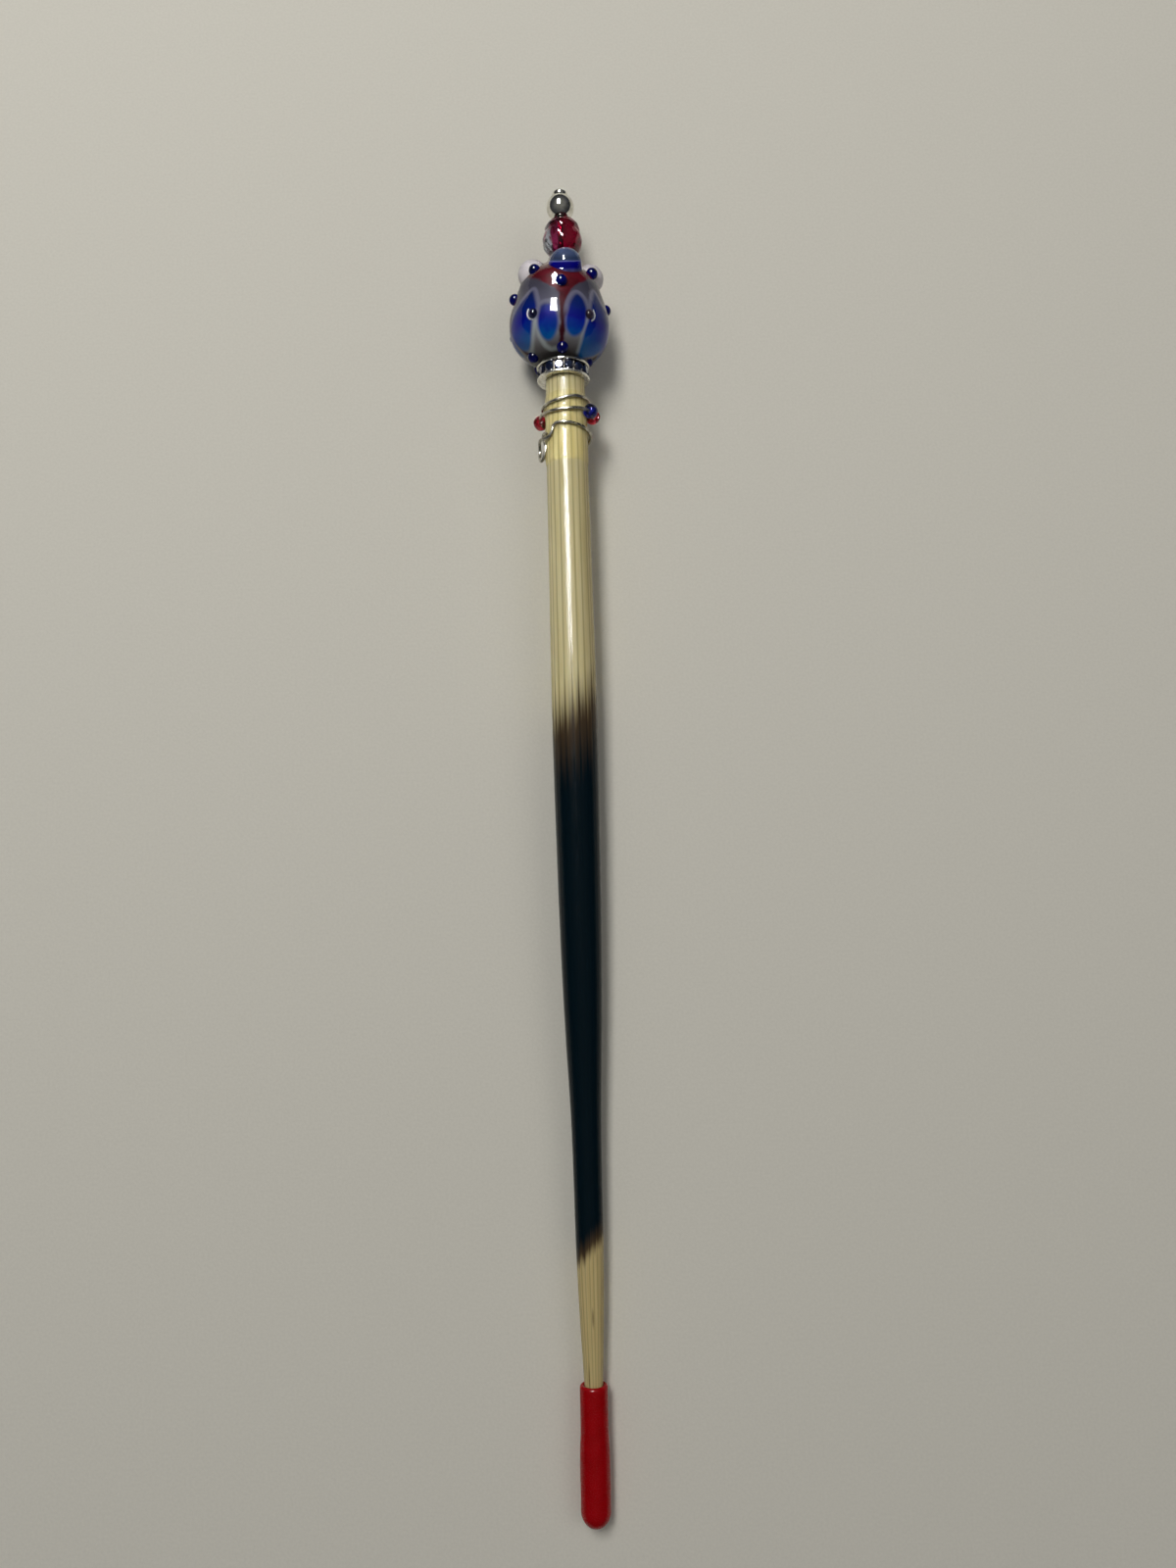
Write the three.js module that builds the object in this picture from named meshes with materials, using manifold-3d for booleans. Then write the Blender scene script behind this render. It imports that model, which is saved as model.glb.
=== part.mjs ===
// A porcupine quill made into a hair stick, lying on its side. Millimetres, +Z up.
//
// The stick lies along Y, with its capped point at -Y and its stack of beads at +Y. It rests on
// the lampwork bead and on the end of the cap, so its axis rises a little toward the beads.
//
// Everything is built about the stick's own axis, local Y. A place on the stick has a station,
// its distance from the end of the cap, and an angle round the axis, in degrees, which is 0 on
// top of the stick and grows toward +X. The last lines lay the stick down on the ground.

import * as THREE from 'three';
import { mergeVertices } from 'three/addons/utils/BufferGeometryUtils.js';
import Module from 'manifold-3d';

// ---- Driving dimensions

const FIT = 0.06; // clearance between two pieces that touch
const ROUND_SIDES = 24; // sides of the quill and the cap: one flat side faces straight down
const BEAD_SIDES = 16; // fewer and broader sides on the lampwork bead, which carries the stick
const SMALL_SIDES = 12; // sides of the slim turned pieces
const ROUND_STEPS = 8; // steps in the profile of a round bead

// Quill: [station, radius] from the point to the cut end
const QUILL_FORM = [
  [3.4, 0.45],
  [10, 0.85],
  [20.3, 1.37],
  [29, 1.74],
  [37, 1.94],
  [47, 2.04],
  [55, 2.17],
  [65, 2.57],
  [76, 2.92],
  [92, 3.17],
  [112, 3.33],
  [136, 3.2],
  [150, 3.12],
  [163.3, 2.95],
];
const QUILL_RINGS = 28; // rings of the skin between the point and the cut end
const QUILL_POINT_LENGTH = 0.2; // the blunt point past the first ring
const QUILL_BORE_DEPTH = 16; // hole drilled in the cut end for the head pin

// Soft cap on the point
const CAP_RADIUS = 2.08;
const CAP_END_LENGTH = 2.3; // length of the rounded end
const CAP_END_STEPS = 6;
const CAP_NECK_RADIUS = 1.95; // the cap is slimmer where it grips the quill
const CAP_SWELL_STATION = 10.5; // the full radius ends here
const CAP_NECK_STATION = 12.6;
const CAP_RIM_STATION = 18.75;
const CAP_RIM_ROUND = 0.45; // rounding of the rim's outer edge
const CAP_RIM_STEPS = 3;
const CAP_FLOOR_STATION = 2.7; // bottom of the pocket that takes the point
const CAP_FLOOR_RADIUS = 0.5;
const CAP_POCKET_STATIONS = [18.75, 14, 9, 4.5]; // rings of the pocket's wall
const CAP_POCKET_SLACK = 0.3; // spare room round the point, which lets the cap lean
const CAP_LEAN = -0.6; // degrees, as seen from above

// Rondelle: two round plates with a seated ring of stones between them
const PLATE_RADIUS = 4;
const PLATE_THICKNESS = 0.4;
const PLATE_EDGE = 0.12; // chamfer of the plates' edges
const PLATE_SIDES = 26;
const RONDELLE_STATION = 163.36;
const RONDELLE_THICKNESS = 2.34;
const RONDELLE_HOLE_RADIUS = 0.7; // wider than the pin
const RONDELLE_SLIP = -0.24; // sideways place of the rondelle and its stones
const STONE_COUNT = 14;
const STONE_TURN = -10; // angle of the first stone
const STONE_SIDES = 8;
const STONE_RADIUS = 0.69;
const STONE_TABLE_RADIUS = 0.42;
const STONE_HEIGHT = 0.85; // from the pointed back to the flat table
const STONE_CROWN = 0.3; // height of the bevelled front part
const STONE_TABLE_REACH = 3.86; // distance of the tables from the stick's axis
const SEAT_VALLEY_RADIUS = 2.9; // the core's outline behind each stone
const SEAT_RIB_RADIUS = 3.42; // and between two stones
const CORE_HOLE_SEGMENTS = 6;

// Lampwork bead: [height, radius] of its outside, measured from its middle
const BEAD_FORM = [
  [-8.3, 2.2],
  [-8.15, 3.1],
  [-7.6, 4.2],
  [-6.8, 5.4],
  [-5.8, 6.45],
  [-4.7, 7.15],
  [-3.6, 7.5],
  [-2.4, 7.62],
  [-1.2, 7.55],
  [0, 7.25],
  [2, 6.5],
  [4, 5.55],
  [5.2, 4.85],
  [6.3, 3.9],
  [7.2, 2.95],
  [8, 2.2],
  [9, 1.9],
];
const BEAD_MIDDLE_STATION = 174.2;
const BEAD_HOLE_RADIUS = 1.3; // wider than the pin, so the bead sits a little to one side
const BEAD_SLIP = -0.52; // sideways place of its middle
const BEAD_LEAN = -2.9; // degrees, as seen from above

// Raised glass on the lampwork bead: [angle, height, distance of the ball's centre, ball radius]
const DOME_SIDES = 12;
const DOME_RINGS = 7;
const CLEAR_DOMES = [
  [9.5, 5, 5.15, 2.48],
  [84, 5.4, 4.4, 2.2],
  [150, 5.1, 4.8, 2.3],
  [-130, 5.1, 4.8, 2.3],
  [-57, 4.7, 4.95, 2.2],
];
const BLUE_DOTS = [
  // beside the domes
  [-37.6, 4.2, 6.15, 0.88],
  [61, 5.1, 5.45, 0.88],
  [116, 4.9, 5.4, 0.88],
  [-172, 4.9, 5.4, 0.88],
  [-100, 4.9, 5.4, 0.88],
  // on the red stripes between the flowers
  [2.7, 1.6, 6.85, 0.87],
  [97, 1.1, 6.95, 0.87],
  [150, 1.3, 6.95, 0.87],
  [-140, 1.3, 6.95, 0.87],
  [-77.5, 1.3, 6.95, 0.87],
  // round the lower end
  [9, -7.4, 4.4, 0.88],
  [98, -7.2, 4.4, 0.88],
  [154, -7.3, 4.3, 0.88],
  [-136, -7.4, 4.3, 0.88],
  [-71, -7.55, 4, 0.88],
];
// The fifth flower's eye, underneath, has melted in flush: the bead lies on that side.
const FLOWER_EYES = [
  [-31, -3.2, 7.15, 0.7],
  [39, -2.9, 7.2, 0.7],
  [112, -3.2, 7.15, 0.7],
  [-104, -3.2, 7.15, 0.7],
];

// Faceted bead: [station, radius] of its outside
const FACETED_FORM = [
  [183.35, 1.4],
  [184.2, 2.4],
  [185.1, 2.96],
  [185.9, 3.07],
  [186.8, 3],
  [187.6, 2.84],
  [188.3, 2.55],
  [188.9, 2],
  [189.5, 1.3],
];
const FACETED_SLIP = 0.2; // sideways place

// Silver bead and the headed pin that holds the stack together
const SILVER_RADIUS = 2.13;
const SILVER_SIDES = 20;
const SILVER_HOLE_RADIUS = 1.12;
const PIN_RADIUS = 0.35;
const PIN_HEAD_RADIUS = 1.2; // of the rounded head, across the stick
const PIN_HEAD_RISE = 0.7; // and its half height, along the stick

// Wire wrap: [angle, station, lift], angles growing turn after turn. Lift is the wire's height
// above the quill where it doesn't lie on it. The wire starts with a loop on the stick's -X side.
const WIRE_RADIUS = 0.24;
const WIRE_SIDES = 8;
const WIRE_STEPS = 92;
const WIRE_ROUTE = [
  // the cut end and the loop, which passes under the wire once
  [-60, 154.6, 0.02],
  [-76, 154.95, 0.08],
  [-92, 154.85, 0.2],
  [-94, 154.35, 0.12],
  [-84, 153.75, 0],
  [-70, 153.1, 0],
  [-69, 152.2, 0.05],
  [-75, 151.2, 0.25],
  [-82, 150.85, 0.5],
  [-92, 151.5, 0.7],
  [-98, 152.6, 0.75],
  [-92, 153.55, 0.72],
  [-76, 153.9, 0.66],
  [-58, 153.85, 0.25],
  [-46, 154.05, 0.05],
  [-39, 154.7, 0],
  [-35, 155.35, 0],
  // first turn
  [-27, 155.7, 0],
  [0, 155.7, 0],
  [48, 155.35, 0],
  [90, 154.9, 0.25],
  [118, 154.3, 0.3],
  [150, 154.6, 0.05],
  [190, 155.6, 0],
  [225, 156.9, 0.3],
  // second turn, through the three seed beads
  [249, 157.6, 0.84],
  [272, 158.05, 0.4],
  [296, 158, 0],
  [330, 157.8, 0],
  [370, 157.85, 0],
  [400, 158.1, 0.1],
  [422, 157.8, 0.84],
  [443, 157.95, 0.95],
  [465, 158.15, 0.84],
  [492, 158.2, 0.2],
  [540, 158.5, 0],
  [590, 159.05, 0],
  // third turn, which ends against the quill underneath
  [625, 159, 0.25],
  [655, 159.2, 0],
  [696, 159.3, 0],
  [743, 159.85, 0],
  [790, 160.1, 0.1],
  [820, 160.15, 0.15],
  [860, 160.2, 0],
  [890, 160.3, 0],
];
const SEED_RADIUS = 1.07;
const SEED_LENGTH = 1.5;
const SEED_HOLE_RADIUS = 0.44;
const SEED_SIDES = 10;
const SEEDS = [
  ['seed_bead_red_left', 249],
  ['seed_bead_blue', 422],
  ['seed_bead_red_right', 465],
];

// ---- Materials

function finish(color, roughness, metalness = 0) {
  return new THREE.MeshStandardMaterial({ color, roughness, metalness });
}

const FINISHES = {
  quill: finish('#d8d3ac', 0.35),
  cap: finish('#b80a18', 0.3),
  silver: finish('#d9d8d2', 0.2, 1),
  sapphire: finish('#0a1c3c', 0.05),
  lampwork: finish('#1638a8', 0.05),
  ruby: finish('#8e0a24', 0.05),
  redSeed: finish('#a30c1e', 0.1),
  blueSeed: finish('#10208c', 0.1),
};

// ---- Making shapes

const wasm = await Module();
wasm.setup();

function onAxis(angle, station, radius) {
  const turn = THREE.MathUtils.degToRad(angle);
  return new THREE.Vector3(radius * Math.sin(turn), station, radius * Math.cos(turn));
}

// A solid of revolution about Y. The profile holds [height, radius] points and runs up the
// outside, so that the faces point out; it ends on the axis or comes back to its start.
function turned(profile, sides) {
  const outline = profile.map(([height, radius]) => new THREE.Vector2(radius, height));
  return new THREE.LatheGeometry(outline, sides, Math.PI / sides);
}

// The same with a straight hole through it.
function turnedWithHole(form, holeRadius, sides) {
  const bottom = form[0][0];
  const top = form[form.length - 1][0];
  return turned([[bottom, holeRadius], ...form, [top, holeRadius], [bottom, holeRadius]], sides);
}

// Points on a quarter or a longer piece of an ellipse, as [height, radius]; 0 degrees is at the
// lowest point of the ellipse, on the axis side.
function arc(center, halfHeight, halfWidth, fromDegrees, toDegrees, steps, inset = 0) {
  return Array.from({ length: steps + 1 }, (_, step) => {
    const turn = THREE.MathUtils.degToRad(
      THREE.MathUtils.lerp(fromDegrees, toDegrees, step / steps),
    );
    return [center - halfHeight * Math.cos(turn), inset + halfWidth * Math.sin(turn)];
  });
}

function toSolid(geometry) {
  const bare = geometry.clone();
  bare.deleteAttribute('normal');
  bare.deleteAttribute('uv');
  const merged = mergeVertices(bare);
  return new wasm.Manifold(new wasm.Mesh({
    numProp: 3,
    vertProperties: merged.attributes.position.array,
    triVerts: merged.index.array,
  }));
}

function toGeometry(solid) {
  const mesh = solid.getMesh();
  const geometry = new THREE.BufferGeometry();
  geometry.setAttribute('position', new THREE.BufferAttribute(mesh.vertProperties, 3));
  geometry.setIndex(new THREE.BufferAttribute(mesh.triVerts, 1));
  geometry.computeVertexNormals();
  return geometry;
}

const stick = new THREE.Group();

function add(name, geometry, material) {
  const mesh = new THREE.Mesh(geometry, material);
  mesh.name = name;
  stick.add(mesh);
  return mesh;
}

// ---- Quill

const quillCurve = new THREE.SplineCurve(
  QUILL_FORM.map(([station, radius]) => new THREE.Vector2(radius, station)),
);
const quillSkin = quillCurve.getPoints(QUILL_RINGS).map(({ x, y }) => [y, x]);

function quillRadius(station) {
  const above = quillSkin.findIndex(([ring]) => ring > station);
  const [lowStation, lowRadius] = quillSkin[above - 1];
  const [highStation, highRadius] = quillSkin[above];
  return THREE.MathUtils.mapLinear(station, lowStation, highStation, lowRadius, highRadius);
}

const quillPoint = quillSkin[0][0];
const quillCut = quillSkin[QUILL_RINGS][0];
const boreRadius = PIN_RADIUS + FIT;
const boreFloor = quillCut - QUILL_BORE_DEPTH;

add('quill', turned([
  [quillPoint - QUILL_POINT_LENGTH, 0],
  ...quillSkin,
  [quillCut, boreRadius],
  [boreFloor, boreRadius],
  [boreFloor, 0],
], ROUND_SIDES), FINISHES.quill);

// ---- Tip cap

const rimRoundStation = CAP_RIM_STATION - CAP_RIM_ROUND;
const pocketForm = CAP_POCKET_STATIONS.map((station) => {
  const slack = THREE.MathUtils.mapLinear(
    station, CAP_RIM_STATION, CAP_FLOOR_STATION, FIT, CAP_POCKET_SLACK,
  );
  return [station, quillRadius(station) + slack];
});

const capOnRim = turned([
  ...arc(CAP_END_LENGTH, CAP_END_LENGTH, CAP_RADIUS, 0, 90, CAP_END_STEPS),
  [CAP_SWELL_STATION, CAP_RADIUS],
  [CAP_NECK_STATION, CAP_NECK_RADIUS],
  ...arc(rimRoundStation, CAP_RIM_ROUND, CAP_RIM_ROUND, 90, 180, CAP_RIM_STEPS,
    CAP_NECK_RADIUS - CAP_RIM_ROUND),
  ...pocketForm,
  [CAP_FLOOR_STATION, CAP_FLOOR_RADIUS],
  [CAP_FLOOR_STATION, 0],
], ROUND_SIDES).translate(0, -CAP_RIM_STATION, 0);

const tipCap = add('tip_cap', capOnRim, FINISHES.cap);
tipCap.position.y = CAP_RIM_STATION;
tipCap.rotation.z = THREE.MathUtils.degToRad(CAP_LEAN);

// ---- Rondelle

function plateForm(station) {
  const top = station + PLATE_THICKNESS;
  return [
    [station, PLATE_RADIUS - PLATE_EDGE],
    [station + PLATE_EDGE, PLATE_RADIUS],
    [top - PLATE_EDGE, PLATE_RADIUS],
    [top, PLATE_RADIUS - PLATE_EDGE],
  ];
}

const upperPlateStation = RONDELLE_STATION + RONDELLE_THICKNESS - PLATE_THICKNESS;
const coreStation = RONDELLE_STATION + PLATE_THICKNESS + FIT;
const coreHeight = upperPlateStation - FIT - coreStation;
const stoneStep = 360 / STONE_COUNT;

for (const [name, station] of [
  ['rondelle_lower_plate', RONDELLE_STATION],
  ['rondelle_upper_plate', upperPlateStation],
]) {
  const form = plateForm(station);
  const plate = add(name, turnedWithHole(form, RONDELLE_HOLE_RADIUS, PLATE_SIDES), FINISHES.silver);
  plate.position.x = RONDELLE_SLIP;
}

// The core is drawn in its own flat X and Y and stood up along the stick, which keeps X and
// turns its Y to the stick's -Z. A valley lies behind each stone and a rib between two stones.
function coreOutline() {
  const corners = Array.from({ length: 2 * STONE_COUNT }, (_, step) => {
    const radius = step % 2 ? SEAT_RIB_RADIUS : SEAT_VALLEY_RADIUS;
    const place = onAxis(STONE_TURN + step * stoneStep / 2, 0, radius);
    return new THREE.Vector2(place.x, -place.z);
  });
  const outline = new THREE.Shape(corners);
  const hole = new THREE.Path().absarc(0, 0, RONDELLE_HOLE_RADIUS, 0, 2 * Math.PI, true);
  outline.holes.push(hole);
  return outline;
}

const coreRing = new THREE.ExtrudeGeometry(coreOutline(), {
  depth: coreHeight,
  bevelEnabled: false,
  curveSegments: CORE_HOLE_SEGMENTS,
});

coreRing.rotateX(-Math.PI / 2).translate(RONDELLE_SLIP, coreStation, 0);
add('rondelle_core', coreRing, FINISHES.silver);

const stoneGirdle = STONE_HEIGHT - STONE_CROWN;

function stoneGeometry() {
  return turned([
    [0, 0],
    [stoneGirdle, STONE_RADIUS],
    [STONE_HEIGHT, STONE_TABLE_RADIUS],
    [STONE_HEIGHT, 0],
  ], STONE_SIDES);
}

for (let index = 0; index < STONE_COUNT; index += 1) {
  const angle = STONE_TURN + index * stoneStep;
  const stone = add(`rhinestone_${String(index + 1).padStart(2, '0')}`, stoneGeometry(),
    FINISHES.sapphire);
  const outward = onAxis(angle, 0, 1);
  stone.quaternion.setFromUnitVectors(new THREE.Vector3(0, 1, 0), outward);
  stone.position.copy(onAxis(angle, coreStation + coreHeight / 2, STONE_TABLE_REACH - STONE_HEIGHT));
  stone.position.x += RONDELLE_SLIP;
}

// ---- Lampwork bead

function ball([angle, height, distance, radius], geometry) {
  const center = onAxis(angle, height, distance);
  return toSolid(geometry.scale(radius, radius, radius).translate(center.x, center.y, center.z));
}

const beadBody = toSolid(turnedWithHole(BEAD_FORM, BEAD_HOLE_RADIUS, BEAD_SIDES));
const domes = CLEAR_DOMES.map((dome) => ball(dome, new THREE.SphereGeometry(1, DOME_SIDES, DOME_RINGS)));
const dots = [...BLUE_DOTS, ...FLOWER_EYES].map((dot) => (
  ball(dot, new THREE.IcosahedronGeometry(1, 1))
));
const fusedBead = [...domes, ...dots].reduce((whole, piece) => whole.add(piece), beadBody);

const lampworkBead = add('lampwork_bead', toGeometry(fusedBead), FINISHES.lampwork);
lampworkBead.position.set(BEAD_SLIP, BEAD_MIDDLE_STATION, 0);
lampworkBead.rotation.z = THREE.MathUtils.degToRad(BEAD_LEAN);

// ---- Beads on top and the pin

const facetedBead = add('faceted_bead',
  turnedWithHole(FACETED_FORM, boreRadius + FACETED_SLIP, SMALL_SIDES), FINISHES.ruby);
facetedBead.position.x = FACETED_SLIP;

// The silver bead stands on the faceted bead, and the pin's head sits in the mouth of its hole.
const silverEdgeHeight = Math.sqrt(SILVER_RADIUS ** 2 - SILVER_HOLE_RADIUS ** 2);
const headEdgeHeight = PIN_HEAD_RISE * Math.sqrt(1 - (SILVER_HOLE_RADIUS / PIN_HEAD_RADIUS) ** 2);
const silverStation = FACETED_FORM[FACETED_FORM.length - 1][0] + FIT + silverEdgeHeight;
const headStation = silverStation + silverEdgeHeight + FIT + headEdgeHeight;
const silverEdgeAngle = THREE.MathUtils.radToDeg(Math.asin(SILVER_HOLE_RADIUS / SILVER_RADIUS));

add('silver_bead', turnedWithHole(
  arc(
    silverStation, SILVER_RADIUS, SILVER_RADIUS, silverEdgeAngle, 180 - silverEdgeAngle, ROUND_STEPS,
  ),
  SILVER_HOLE_RADIUS, SILVER_SIDES,
), FINISHES.silver);

const neckAngle = THREE.MathUtils.radToDeg(Math.asin(PIN_RADIUS / PIN_HEAD_RADIUS));

add('head_pin', turned([
  [boreFloor + FIT, 0],
  [boreFloor + FIT, PIN_RADIUS],
  ...arc(headStation, PIN_HEAD_RISE, PIN_HEAD_RADIUS, neckAngle, 180, ROUND_STEPS),
], SMALL_SIDES), FINISHES.silver);

// ---- Wire wrap and seed beads

const wirePoints = WIRE_ROUTE.map(([angle, station, lift]) => (
  onAxis(angle, station, quillRadius(station) + FIT + WIRE_RADIUS + lift)
));
const wireCurve = new THREE.CatmullRomCurve3(wirePoints, false, 'centripetal');
const wireSection = new THREE.Shape(
  new THREE.Path().absarc(0, 0, WIRE_RADIUS, 0, 2 * Math.PI).getPoints(WIRE_SIDES / 2).slice(1),
);

add('wrap_wire', new THREE.ExtrudeGeometry(wireSection, {
  steps: WIRE_STEPS,
  bevelEnabled: false,
  extrudePath: wireCurve,
}), FINISHES.silver);

function seedGeometry() {
  const half = SEED_LENGTH / 2;
  const wall = (SEED_RADIUS - SEED_HOLE_RADIUS) / 2;
  return turned(arc(0, half, wall, 0, 360, ROUND_STEPS, SEED_HOLE_RADIUS + wall), SEED_SIDES);
}

for (const [name, angle] of SEEDS) {
  const stop = WIRE_ROUTE.findIndex((point) => point[0] === angle) / (WIRE_ROUTE.length - 1);
  const material = name.includes('blue') ? FINISHES.blueSeed : FINISHES.redSeed;
  const seed = add(name, seedGeometry(), material);
  seed.position.copy(wireCurve.getPoint(stop));
  seed.quaternion.setFromUnitVectors(new THREE.Vector3(0, 1, 0), wireCurve.getTangent(stop));
}

// ---- Lying on the ground

// The stick touches the ground with the widest ring of the lampwork bead and with the ring
// where the cap's rounded end begins, each on a flat side.
const [widestHeight, widestRadius] = BEAD_FORM.reduce((a, b) => (b[1] > a[1] ? b : a));
const beadFlat = widestRadius * Math.cos(Math.PI / BEAD_SIDES);
const capFlat = CAP_RADIUS * Math.cos(Math.PI / ROUND_SIDES);
const rise = beadFlat - capFlat;
const run = BEAD_MIDDLE_STATION + widestHeight - CAP_END_LENGTH;
stick.rotation.x = Math.asin(rise / Math.hypot(rise, run));

// The origin is at the middle of the box, on the ground.
const box = new THREE.Box3().setFromObject(stick, true);
const middle = box.getCenter(new THREE.Vector3());
stick.position.set(-middle.x, -middle.y, -box.min.z);
stick.updateMatrixWorld(true);

export default stick;
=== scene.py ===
"""A porcupine quill made into a hair stick: the looks of every piece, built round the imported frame.

Pieces are shaped in millimetres in the stick's own frame: x across, y the station, which is the distance
along the stick from the cap's end, and z up. One matrix puts them in place. An angle round the stick is in
degrees, 0 on top and growing toward +x.
"""

import math

import bmesh
import bpy
import numpy as np
from mathutils import Matrix, Vector, geometry


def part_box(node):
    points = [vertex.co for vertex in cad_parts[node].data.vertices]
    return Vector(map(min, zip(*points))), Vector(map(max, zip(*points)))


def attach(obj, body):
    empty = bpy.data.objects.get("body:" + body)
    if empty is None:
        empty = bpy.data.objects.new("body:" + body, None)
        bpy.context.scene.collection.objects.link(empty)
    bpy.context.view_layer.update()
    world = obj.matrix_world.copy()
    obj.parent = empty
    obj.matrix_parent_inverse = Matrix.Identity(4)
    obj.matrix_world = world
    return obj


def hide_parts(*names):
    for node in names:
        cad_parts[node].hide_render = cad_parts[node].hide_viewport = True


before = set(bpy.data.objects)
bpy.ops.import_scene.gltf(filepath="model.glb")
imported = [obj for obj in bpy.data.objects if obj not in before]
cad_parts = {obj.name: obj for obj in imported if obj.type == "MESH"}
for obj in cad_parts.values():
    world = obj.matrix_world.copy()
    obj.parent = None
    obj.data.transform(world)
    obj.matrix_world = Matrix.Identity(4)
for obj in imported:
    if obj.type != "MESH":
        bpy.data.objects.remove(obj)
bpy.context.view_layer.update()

MM = 0.001
FIT = 0.06  # clearance between two pieces that touch


# The stick's frame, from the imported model

PLATE_MIDDLE_STATION = 163.56
RONDELLE_SLIP = -0.24  # the rondelle's sideways place


def middle(node_name):
    """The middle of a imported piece's box."""
    low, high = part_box(node_name)
    return (low + high) / 2


plate_middle = middle("rondelle_lower_plate") - Vector((RONDELLE_SLIP * MM, 0, 0))
stick_axis = (middle("silver_bead") - plate_middle).normalized()
stick_tilt = math.asin(stick_axis.z)
stick_start = plate_middle - stick_axis * PLATE_MIDDLE_STATION * MM
STICK = Matrix.Translation(stick_start) @ Matrix.Rotation(stick_tilt, 4, "X") @ Matrix.Scale(MM, 4)


def on_stick(angle, station, radius):
    """The place at an angle, a station and a distance from the stick's axis."""
    turn = math.radians(angle)
    return Vector((radius * math.sin(turn), station, radius * math.cos(turn)))


# Sizes. A form is a list of [station, radius] points up an outside.

QUILL_FORM = [
    [3.4, 0.45], [10, 0.85], [20.3, 1.37], [29, 1.74], [37, 1.94], [47, 2.04], [55, 2.17], [65, 2.57],
    [76, 2.92], [92, 3.17], [112, 3.33], [136, 3.2], [150, 3.12], [163.3, 2.95],
]
BORE_RADIUS = 0.41
BORE_FLOOR = 147.3

CAP_RADIUS = 2.08
CAP_END_LENGTH = 2.3
CAP_NECK_RADIUS = 1.95
CAP_RIM_STATION = 18.75
CAP_RIM_ROUND = 0.45
CAP_LEAN = -0.6  # degrees
CAP_SIDE_FORM = [[4, 2.08], [7, 2.09], [10.5, 2.06], [12.6, 1.96], [15, 1.94], [17.6, 1.95]]
POCKET_STATIONS = (17, 13, 9, 4.5)
POCKET_WIDENING = 0.02
POCKET_FLOOR = [(2.7, 0.5), (2.7, 0)]

RONDELLE_STATION = 163.36
RONDELLE_THICKNESS = 2.34
PLATE_RADIUS = 4
PLATE_THICKNESS = 0.4
PLATE_FLAT_RADIUS = 2.6
RONDELLE_HOLE_RADIUS = 0.7
SEAT_RADIUS = 3.3
SEAT_RIB_RADIUS = 0.16
SEAT_RIB_DISTANCE = 3.4
STONE_COUNT = 14
STONE_TURN = -10
STONE_TABLE_REACH = 3.86
STONE_HEIGHT = 0.85
STONE_FORM = [(0, 0), (0.5, 0.76), (0.6, 0.77), (STONE_HEIGHT, 0.5), (STONE_HEIGHT, 0)]
STONE_EDGE = 0.015  # width of the polish on its edges
STONE_LEAN = 5  # degrees

BEAD_MIDDLE = Vector((-0.52, 174.2, 0))
BEAD_LEAN = -2.9
BEAD_HOLE_RADIUS = 1.3
BEAD_FORM = [
    [-8.3, 2.2], [-8.15, 3.1], [-7.6, 4.2], [-6.8, 5.4], [-5.8, 6.45], [-4.7, 7.15], [-3.6, 7.5],
    [-2.4, 7.62], [-1.2, 7.55], [0, 7.25], [2, 6.5], [4, 5.55], [5.2, 4.85], [6.3, 3.9], [7.2, 2.95],
    [8, 2.2], [9, 1.9],
]
# raised glass on the lampwork bead: [angle, height, distance of the ball's centre, ball radius]
CLEAR_DOMES = [
    [9.5, 5, 5.15, 2.48], [84, 5.4, 4.4, 2.2], [150, 5.1, 4.8, 2.3], [-130, 5.1, 4.8, 2.3],
    [-57, 4.7, 4.95, 2.2],
]
BLUE_DOTS = [
    [-37.6, 4.2, 6.15, 0.88], [61, 5.1, 5.45, 0.88], [116, 4.9, 5.4, 0.88], [-172, 4.9, 5.4, 0.88],
    [-100, 4.9, 5.4, 0.88], [2.7, 1.6, 6.85, 0.87], [97, 1.1, 6.95, 0.87], [150, 1.3, 6.95, 0.87],
    [-140, 1.3, 6.95, 0.87], [-77.5, 1.3, 6.95, 0.87], [9, -7.4, 4.4, 0.88], [98, -7.2, 4.4, 0.88],
    [154, -7.3, 4.3, 0.88], [-136, -7.4, 4.3, 0.88], [-71, -7.55, 4, 0.88],
]
DOME_TILT = 29.6  # the colour's layers in the front dome lean this much from the bead's axis
FLOWER_EYES = [
    [-31, -3.2, 7.15, 0.7], [39, -2.9, 7.2, 0.7], [112, -3.2, 7.15, 0.7], [-104, -3.2, 7.15, 0.7],
]

FACETED_SLIP = 0.2
FACETED_END = 189.5
SILVER_RADIUS = 2.13
SILVER_HOLE_RADIUS = 1.12
PIN_RADIUS = 0.35
PIN_HEAD_RADIUS = 1.2
PIN_HEAD_RISE = 0.7

WIRE_RADIUS = 0.24
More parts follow.
